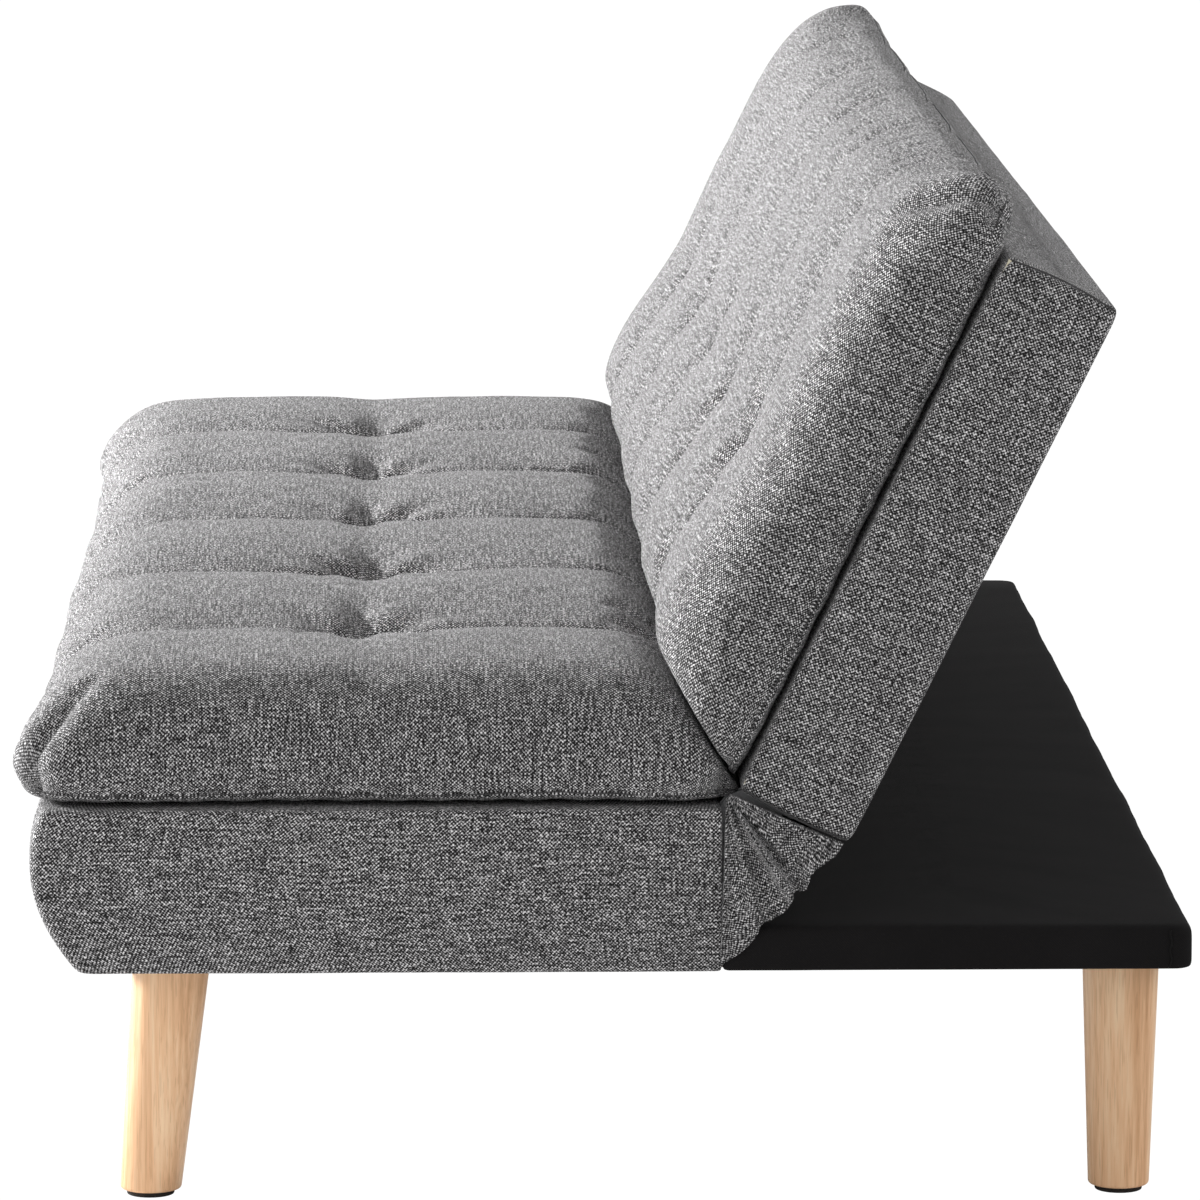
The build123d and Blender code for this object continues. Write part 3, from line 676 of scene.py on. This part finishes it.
# seat box cover: front panel bows out, and leans in towards the floor
zf = np.array([0.1714, 0.2410, 0.2860])
yf = np.array([-0.3690, -0.4020, -0.3945])
front_fit = np.polyfit(zf, yf, 2)


def seat_loop(z, inset=0.0):
    y0 = np.polyval(front_fit, min(max(z, 0.1714), 0.2885))
    lp = rounded_loop(-0.8306 + inset, 0.8306 - inset, y0 + inset, 0.0858 - inset, (0.010, 0.010, 0.002, 0.002), (150, 44))
    return np.concatenate([lp, np.full((len(lp), 1), z)], 1)


levels = [
    (0.1728, 0.032), (0.1722, 0.014), (0.1714, 0.004), (0.1718, 0.0012), (0.1735, 0.0),
    *[(z, 0.0) for z in np.linspace(0.180, 0.280, 13)],
    (0.2860, 0.0), (0.2880, 0.0008), (0.2889, 0.0028), (0.2892, 0.012), (0.2892, 0.045),
]
loops = []
for z, inset in levels:
    lp = seat_loop(z, inset)
    t = (z - 0.1714) / 0.117
    belly = 4 * t * (1 - t)
    c = lp.copy()
    n = fbm(lp, 6.0, 3.0)
    n2 = fbm(lp * [1, 1, 2.2], 26.0, 9.0)
    sidew = np.abs(lp[:, 0]) > 0.80
    out = 0.0014 * (1 + n) + 0.0006 * n2 + np.where(sidew, 0.0016 * belly, 0.0)
    near_top = np.exp(-(((0.2885 - z) / 0.02) ** 2))
    out = out + 0.0010 * near_top * (0.5 + 0.5 * np.sin(lp[:, 1] * 90 + lp[:, 0] * 70))
    c[:, 0] += np.sign(lp[:, 0]) * np.where(sidew, out, 0)
    c[:, 1] += np.where(~sidew & (lp[:, 1] < 0), -out, 0)
    loops.append(c)
seat_box = wrapped("seat_box_cover", loops, GREY, 44, cap_first=False, cap_last=False)
soften(seat_box)
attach(seat_box, "base")
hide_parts("seat_base_cover")
for s, nm in ((-1, "left"), (1, "right")):
    zz = np.linspace(0.176, 0.286, 24)
    yy = np.polyval(front_fit, zz) + 0.0165 + 0.0006 * np.sin(zz * 300)
    sm = tube("seat_box_seam_" + nm, np.stack([np.full(24, s * 0.8318), yy, zz], 1), 0.0009, THREAD, "base")


# back slab cover
def slab_loop(zp, inset=0.0):
    lp = rounded_loop(-0.8295 + inset, 0.8295 - inset, -0.0878 + inset, 0.0 - inset, (0.007, 0.007, 0.006, 0.006), (140, 12))
    return lp, zp


slab_levels = [
    (0.0012, 0.0425), (0.0004, 0.024), (0.0, 0.010), (0.0012, 0.0030), (0.0040, 0.0006),
    *[(z, 0.0) for z in np.linspace(0.012, 0.414, 34)],
    (0.4208, 0.0008), (0.4240, 0.0034), (0.4252, 0.010), (0.4262, 0.024), (0.4266, 0.0425),
]
loops = []
for zp, inset in slab_levels:
    lp, z = slab_loop(zp, inset)
    pt = np.concatenate([lp, np.full((len(lp), 1), zp)], 1)
    t = np.clip(zp / 0.425, 0, 1)
    belly = (4 * t * (1 - t)) ** 0.5
    n = fbm(pt, 6.0, 21.0)
    n2 = fbm(pt, 24.0, 27.0)
    sidew = np.abs(lp[:, 0]) > 0.80
    yb = (lp[:, 1] + 0.044) / 0.044
    out = 0.0014 * n + 0.0006 * n2 + 0.0028 * belly * (1 - yb**2)
    x = lp[:, 0] + np.sign(lp[:, 0]) * np.where(sidew & (inset < 0.004), out, 0)
    zz = zp + np.where(zp > 0.418, 0.0022 * n, 0) * (1 if inset > 0.005 else 0)
    loops.append(back_point(x, lp[:, 1], zz))
slab = wrapped("back_slab_cover", loops, GREY, 12, cap_first=True, cap_last=True)
soften(slab)
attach(slab, "backrest")
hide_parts("back_cover")
for s, nm in ((-1, "left"), (1, "right")):
    t = np.linspace(0, 1, 30)
    yp = -0.0845 + t * 0.0815
    for end, z0, bow in (("top", 0.4215, 0.0030), ("bottom", 0.0035, -0.0024)):
        zp = z0 + bow * np.sin(np.pi * t)
        x = s * (0.8285 + 0.0006 * np.sin(np.pi * t))
        sm = tube("slab_seam_%s_%s" % (end, nm), back_point(np.full(30, x), yp, zp), 0.0007, THREAD, "backrest")

# ------------------------------------------------------------- black deck
levels = [
    (0.1726, 0.030), (0.1718, 0.010), (0.1714, 0.0040), (0.1722, 0.0012), (0.1745, 0.0),
    *[(z, 0.0) for z in np.linspace(0.180, 0.196, 4)],
    (0.1998, 0.0006), (0.2022, 0.0024), (0.2033, 0.0056), (0.2036, 0.011), (0.2035, 0.022),
    (0.2034, 0.045), (0.2033, 0.080), (0.2033, 0.120), (0.2033, 0.1655),
]
loops = []
for z, inset in levels:
    lp = rounded_loop(-0.830 + inset, 0.830 - inset, 0.0862 + inset, 0.4195 - inset, (0.003, 0.003, 0.010, 0.010), (140, 30))
    pt = np.concatenate([lp, np.full((len(lp), 1), z)], 1)
    n = fbm(pt, 7.0, 61.0)
    n2 = fbm(pt, 24.0, 67.0)
    flat = sstep(inset / 0.02)
    pt[:, 2] += flat * (0.0007 * n + 0.0003 * n2)
    rim = 1 - flat
    sidew = np.abs(lp[:, 0]) > 0.80
    pt[:, 0] += np.sign(lp[:, 0]) * np.where(sidew, rim * (0.0012 * n + 0.0006 * n2), 0)
    pt[:, 1] += np.where(~sidew & (lp[:, 1] > 0.3), rim * (0.0012 * n + 0.0006 * n2), 0)
    loops.append(pt)
deck = wrapped("deck_black_cover", loops, BLACK, 30, cap_first=False, cap_last=True)
soften(deck)
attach(deck, "base")
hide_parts("deck_cover")
for s, nm in ((-1, "left"), (1, "right")):
    zz = np.linspace(0.174, 0.2005, 12)
    sm = tube("deck_seam_" + nm, np.stack([np.full(12, s * 0.8305), 0.4035 + 0.0006 * np.sin(zz * 500), zz], 1), 0.0007, BLACK_THREAD, "base")

# ---------------------------------------------------------- gathered gussets
GA, GB, GC = np.array([0.0890, 0.2990]), np.array([0.0850, 0.1750]), np.array([0.1715, 0.2625])
for s, nm in ((-1, "left"), (1, "right")):
    R, C = 26, 90
    rr = np.linspace(0.02, 1, R)[:, None]
    tt = np.linspace(0, 1, C)[None]
    hem = GB[None, None] + (GC - GB)[None, None] * tt[..., None]
    # the elastic draws the hem in towards the crease
    bow = np.sin(np.pi * tt) * -0.001
    inward = (GA - (GB + GC) / 2) / np.linalg.norm(GA - (GB + GC) / 2)
    hem = hem + bow[..., None] * inward
    yz = GA[None, None] + (hem - GA[None, None]) * rr[..., None]
    ph = 4.0 * 2 * np.pi * (tt + 0.05 * np.sin(2 * np.pi * tt * 1.3 + s) + 0.03 * np.sin(2 * np.pi * tt * 3.1))
    keep = np.clip(np.sin(np.pi * tt), 0, 1) ** 0.5
    wave = np.sin(ph + 0.9 * rr)
    fold = (0.9 + np.sign(wave) * np.abs(wave) ** 0.8) * (0.35 + 0.65 * np.sin(np.pi * np.clip(rr, 0, 1) ** 1.3)) * 0.0085 * keep
    fold = fold * (0.75 + 0.35 * np.sin(2 * np.pi * tt * 2.2 + 0.6))
    ruff = np.sin(ph * 4.0 + 1.0) * 0.0020 * sstep((rr - 0.70) / 0.30) * keep
    belly = 0.007 * np.sin(np.pi * np.clip(rr, 0, 1)) * keep
    x = 0.8315 + fold + ruff + 0.5 * belly - 0.005 * (1 - keep) * tt
    yz[..., 0] += (0.0015 * np.cos(ph + 0.9 * rr) * rr) * keep
    yz[..., 1] += 0.0025 * np.sin(ph) * sstep((rr - 0.6) / 0.4) * keep
    bumps = fbm(np.stack([0 * x, yz[..., 0], yz[..., 1]], -1), 38.0, 5.0 * s)
    x = x + 0.0055 * bumps * keep * np.sin(np.pi * np.clip(rr, 0, 1)) ** 0.7
    V = np.stack([s * x, yz[..., 0], yz[..., 1]], -1)
    fs = grid_faces(R, C, flip=(s < 0))
    gus = new_object("gusset_cloth_" + nm, V.reshape(-1, 3), fs, arc_uv(V).reshape(-1, 2), GREY)
    th = gus.modifiers.new("thickness", "SOLIDIFY")
    th.thickness = 0.0012
    th.offset = 0.0
    bpy.context.view_layer.objects.active = gus
    bpy.ops.object.modifier_apply(modifier="thickness")
    gus.data.polygons.foreach_set("use_smooth", np.ones(len(gus.data.polygons), bool))
    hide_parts("gusset_" + nm)
    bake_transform(gus)

# ---------------------------------------------------- lining of the crease
prof = np.array([[0.0848, 0.2800], [0.0880, 0.2600], [0.0960, 0.2440], [0.1120, 0.2385], [0.1300, 0.2460], [0.1440, 0.2590], [0.1520, 0.2715]])
t = np.linspace(0, 1, 25)
yz = np.stack([np.interp(t, np.linspace(0, 1, 7), prof[:, i]) for i in (0, 1)], -1)
xs = np.linspace(-0.784, 0.784, 160)
V = np.zeros((25, 160, 3))
V[..., 0] = xs[None]
V[..., 1:] = yz[:, None]
V[..., 2] += 0.004 * fbm(V, 9.0, 71.0) * np.sin(np.pi * t)[:, None]
lining = new_object("crease_lining", V.reshape(-1, 3), grid_faces(25, 160), arc_uv(V).reshape(-1, 2), BLACK)
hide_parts("crease_cloth")
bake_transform(lining)

# --------------------------------------------------------------- dust cloths
xs, zs = np.linspace(-0.801, 0.801, 150), np.linspace(0.024, 0.401, 44)
X, Z = np.meshgrid(xs, zs)
P0 = np.stack([X, Z, Z * 0], -1)
slack = np.clip(np.sin(np.pi * (Z - 0.024) / 0.377), 0, 1) ** 0.7 * np.clip(np.sin(np.pi * (X + 0.801) / 1.602), 0, 1) ** 0.5
yp = 0.0012 + 0.0006 * fbm(P0, 30.0, 83.0) * slack + 0.0008 * fbm(P0, 6.0, 87.0) * slack
V = back_point(X, yp, Z)
dust = new_object("back_dust_cloth", V.reshape(-1, 3), grid_faces(44, 150, flip=True), arc_uv(V).reshape(-1, 2), NONWOVEN)
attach(dust, "backrest")
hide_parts("back_dust_panel")

xs, ys = np.linspace(-0.812, 0.812, 150), np.linspace(-0.350, 0.408, 72)
X, Y = np.meshgrid(xs, ys)
P0 = np.stack([X, Y, Y * 0], -1)
slack = np.clip(np.sin(np.pi * (Y + 0.350) / 0.758), 0, 1) ** 0.6 * np.clip(np.sin(np.pi * (X + 0.812) / 1.624), 0, 1) ** 0.5
Z = 0.1718 - 0.0035 * slack + 0.0010 * fbm(P0, 6.0, 91.0) * slack
V = np.stack([X, Y, Z], -1)
under = new_object("base_dust_cloth", V.reshape(-1, 3), grid_faces(72, 150, flip=True), arc_uv(V).reshape(-1, 2), NONWOVEN)
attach(under, "base")
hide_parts("base_dust_cover")

# -------------------------------------- leaf springs, copied from the pawl springs unchanged
for nm in ("left", "right"):
    src = frame["nodes"]["pawl_spring_" + nm]
    leaf = bpy.data.objects.new("pawl_leaf_" + nm, src.data.copy())
    bpy.context.scene.collection.objects.link(leaf)
    leaf.data.transform(src.matrix_world)
    pts = np.array([tuple(v.co) for v in leaf.data.vertices])
    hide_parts("pawl_spring_" + nm)
    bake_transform(leaf)

# ------------------------------------------------------------------- stage
bpy.ops.mesh.primitive_plane_add(size=40, location=(0, 0, 0))
floor = bpy.context.active_object
floor.name = "floor"
fm = Nodes("pale_floor")
fm.bsdf.inputs["Base Color"].default_value = (0.88, 0.88, 0.88, 1)
fm.bsdf.inputs["Roughness"].default_value = 0.9
lp = fm.nt.nodes.new("ShaderNodeLightPath")
glow = fm.nt.nodes.new("ShaderNodeEmission")
glow.inputs[1].default_value = 1.05
both = fm.nt.nodes.new("ShaderNodeMixShader")
fm.link(lp.outputs["Is Camera Ray"], both.inputs[0])
fm.link(fm.bsdf.outputs[0], both.inputs[1])
fm.link(glow.outputs[0], both.inputs[2])
fm.link(both.outputs[0], fm.out.inputs[0])
floor.data.materials.append(fm.mat)

world = bpy.data.worlds.new("studio")
bpy.context.scene.world = world
world.use_nodes = True
wt = world.node_tree
bg = wt.nodes["Background"]
bg.inputs[0].default_value = (1.0, 1.0, 1.0, 1)
bg.inputs[1].default_value = 0.64
seen = wt.nodes.new("ShaderNodeBackground")
seen.inputs[0].default_value = (1.0, 1.0, 1.0, 1)
seen.inputs[1].default_value = 1.05
path = wt.nodes.new("ShaderNodeLightPath")
pick = wt.nodes.new("ShaderNodeMixShader")
wt.links.new(path.outputs["Is Camera Ray"], pick.inputs[0])
wt.links.new(bg.outputs[0], pick.inputs[1])
wt.links.new(seen.outputs[0], pick.inputs[2])
wt.links.new(pick.outputs[0], wt.nodes["World Output"].inputs[0])


def area_light(name, loc, target, size, power):
    ld = bpy.data.lights.new(name, "AREA")
    ld.shape = "RECTANGLE"
    ld.size, ld.size_y = size
    ld.energy = power
    ob = bpy.data.objects.new(name, ld)
    bpy.context.scene.collection.objects.link(ob)
    ob.location = loc
    ob.rotation_euler = (Vector(target) - Vector(loc)).to_track_quat("-Z", "Y").to_euler()
    return ob


area_light("key_front", (-1.5, -4.3, 1.7), (0, 0.1, 0.45), (1.1, 0.8), 500)
area_light("top", (0.0, 0.2, 3.4), (0, 0.0, 0.3), (2.0, 1.2), 2)
area_light("rear", (0.0, 3.0, 2.4), (0, 0.3, 0.4), (3.0, 1.5), 25)
